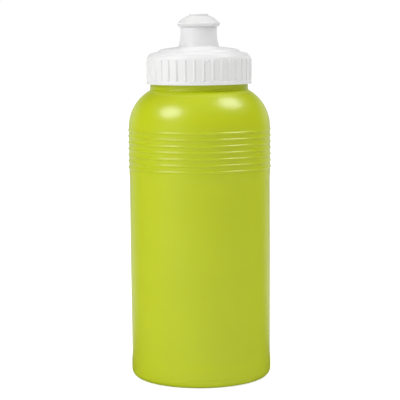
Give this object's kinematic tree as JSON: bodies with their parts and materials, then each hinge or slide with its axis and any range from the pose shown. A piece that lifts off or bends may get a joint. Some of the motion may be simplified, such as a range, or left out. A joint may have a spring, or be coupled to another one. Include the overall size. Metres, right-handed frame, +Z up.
{
  "type": "squeeze water bottle",
  "caption": "Squeeze drinking bottle with a ringed grip, a ribbed screw cap and a push-pull spout in a round chimney.",
  "frame": {"origin": "centre of the base, on the plane of the ring that the bottle stands on", "axes": "+Z up along the bottle's axis, towards the spout; the bottle is round, so X and Y are any two square directions"},
  "size_m": [0.0734, 0.0734, 0.1874],
  "materials": {
    "lime_body": "satin squeezable polyethylene, lime green",
    "white_cap": "satin injection moulded, white",
    "white_spout": "smooth soft polyethylene, white",
    "gasket": "soft matte sealing ring, off-white"
  },
  "bodies": {
    "bottle": {"bottle_body": "lime_body"},
    "gasket": {"sealing_gasket": "gasket"},
    "cap": {"screw_cap": "white_cap", "valve_post": "white_cap"},
    "spout": {"push_pull_spout": "white_spout"}
  },
  "joints": [
    {"name": "cap_lift", "type": "slide", "parent": "bottle", "child": "gasket", "axis": [0, 0, 1], "range_m": [0, 0.02]},
    {"name": "cap_turn", "type": "hinge", "parent": "gasket", "child": "cap", "pos_m": [0, 0, 0.16], "axis": [0, 0, 1], "range_deg": [0, 1440]},
    {"name": "spout_slide", "type": "slide", "parent": "cap", "child": "spout", "axis": [0, 0, 1], "range_m": [0, 0.005]}
  ],
  "couplings": [
    {"joint": "cap_lift", "follows": "cap_turn", "m_per_rad": 0.00079577}
  ]
}
